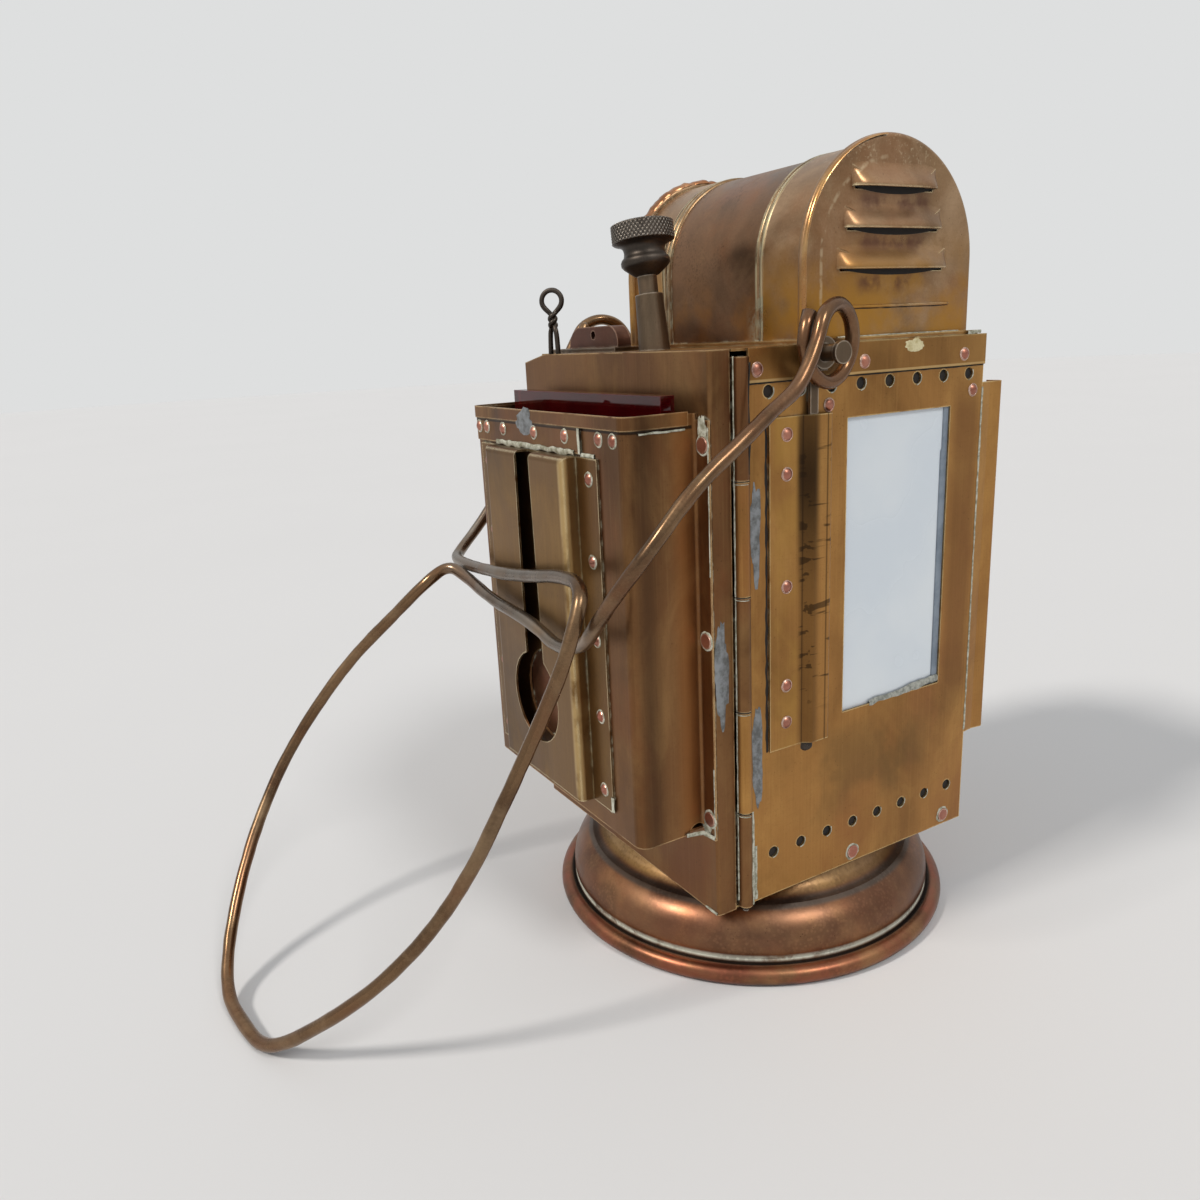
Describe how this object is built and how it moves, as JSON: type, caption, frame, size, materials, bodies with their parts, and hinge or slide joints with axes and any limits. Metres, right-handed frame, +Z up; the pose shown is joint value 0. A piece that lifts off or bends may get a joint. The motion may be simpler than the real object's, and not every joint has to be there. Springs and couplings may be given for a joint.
{
  "type": "oil signal lamp",
  "caption": "Square sheet-brass oil signalling lamp on a round foot, with a louvred hood, opal side window, hinged keyhole shutter front, push plunger and wire bail.",
  "frame": {"origin": "centre of the foot on the surface that the lamp stands on", "axes": "+Z up; the hinged shutter front faces -Y; the opal side window faces +X"},
  "size_m": [0.1786, 0.3038, 0.2975],
  "materials": {
    "body_brass": "aged, streaked",
    "hood_brass": "aged, satin",
    "foot_copper": "copper-brown, satin",
    "rivet_copper": "copper, dull",
    "dark_steel": "dark, dull",
    "bail_bronze": "brown, worn grey",
    "lamp_brass": "dull",
    "silvered": "tarnished",
    "opal_glass": "opal, white",
    "clear_glass": "clear",
    "red_glass": "deep crimson",
    "wick_cotton": "woven cotton"
  },
  "bodies": {
    "case": {"foot": "foot_copper", "floor_plate": "body_brass", "side_b": "body_brass", "side_d": "body_brass", "back_sheet": "body_brass", "lid": "hood_brass", "hood_base": "hood_brass", "hood_vault": "hood_brass", "hood_cap_b": "hood_brass", "hood_cap_d": "hood_brass", "baffle": "hood_brass", "opal_window": "opal_glass", "window_frame": "body_brass", "strap_b": "body_brass", "strap_d": "body_brass", "bail_lug_b": "foot_copper", "bail_lug_d": "foot_copper", "bail_washers": "foot_copper", "rail_b": "body_brass", "rail_d": "body_brass", "hinge_leaf_case": "body_brass", "hinge_pin": "dark_steel", "door_catch": "body_brass", "case_dome_rivets": "rivet_copper", "case_flat_rivets": "rivet_copper", "plunger_tube": "dark_steel", "plunger_bracket": "body_brass", "top_plate": "foot_copper", "lock_lug": "foot_copper", "font": "lamp_brass", "burner": "lamp_brass", "wick_tube": "lamp_brass", "deflector": "lamp_brass", "reflector": "silvered", "reflector_stay": "body_brass"},
    "front_door": {"door_panel": "body_brass", "hinge_leaf_door": "body_brass", "front_box": "body_brass", "box_rim": "body_brass", "top_strip": "body_brass", "hat_panel": "body_brass", "door_dome_rivets": "rivet_copper", "door_flat_rivets": "rivet_copper", "glass_guides": "body_brass", "slide_guides": "body_brass", "shutter_bearings": "body_brass", "lens": "clear_glass", "lens_ring": "lamp_brass"},
    "red_glass": {"red_glass": "red_glass"},
    "dark_slide": {"dark_slide": "body_brass", "wire_pull": "dark_steel"},
    "shutter": {"shutter_disc": "foot_copper", "shutter_shaft": "dark_steel"},
    "plunger": {"plunger_knob": "dark_steel", "plunger_rod": "dark_steel", "plunger_spring": "dark_steel"},
    "bail": {"bail_wire": "bail_bronze"},
    "winder": {"winder_spindle": "dark_steel"},
    "wick": {"wick": "wick_cotton"}
  },
  "joints": [
    {"name": "door_swing", "type": "hinge", "parent": "case", "child": "front_door", "pos_m": [0.0646, -0.052, 0.1323], "axis": [0, 0, 1], "range_deg": [0, 110]},
    {"name": "bail_swing", "type": "hinge", "parent": "case", "child": "bail", "pos_m": [0, -0.022, 0.2285], "axis": [-1, 0, 0], "range_deg": [0, 220.1]},
    {"name": "plunger_press", "type": "slide", "parent": "case", "child": "plunger", "axis": [0.1305, 0, -0.9914], "range_m": [0, 0.00597], "stiffness_N_per_m": 600, "springref_m": -0.01, "deforming": ["plunger_spring"]},
    {"name": "shutter_swing", "type": "hinge", "parent": "front_door", "child": "shutter", "pos_m": [0.0229, -0.066, 0.0756], "axis": [0, 1, 0], "range_deg": [0, 58.1]},
    {"name": "red_glass_lift", "type": "slide", "parent": "front_door", "child": "red_glass", "axis": [0, 0, 1], "range_m": [0, 0.145]},
    {"name": "slide_lift", "type": "slide", "parent": "front_door", "child": "dark_slide", "axis": [0, 0, 1], "range_m": [0, 0.044]},
    {"name": "winder_turn", "type": "hinge", "parent": "case", "child": "winder", "pos_m": [-0.009, 0.0034, 0.082], "axis": [1, 0, 0], "range_deg": [-60, 90]},
    {"name": "wick_lift", "type": "slide", "parent": "case", "child": "wick", "axis": [0, 0, 1], "range_m": [-0.0045, 0.0065]}
  ],
  "couplings": [
    {"joint": "bail_swing", "follows": "door_swing", "ratio": 2},
    {"joint": "shutter_swing", "follows": "plunger_press", "rad_per_m": 169.59},
    {"joint": "wick_lift", "follows": "winder_turn", "m_per_rad": 0.004}
  ]
}
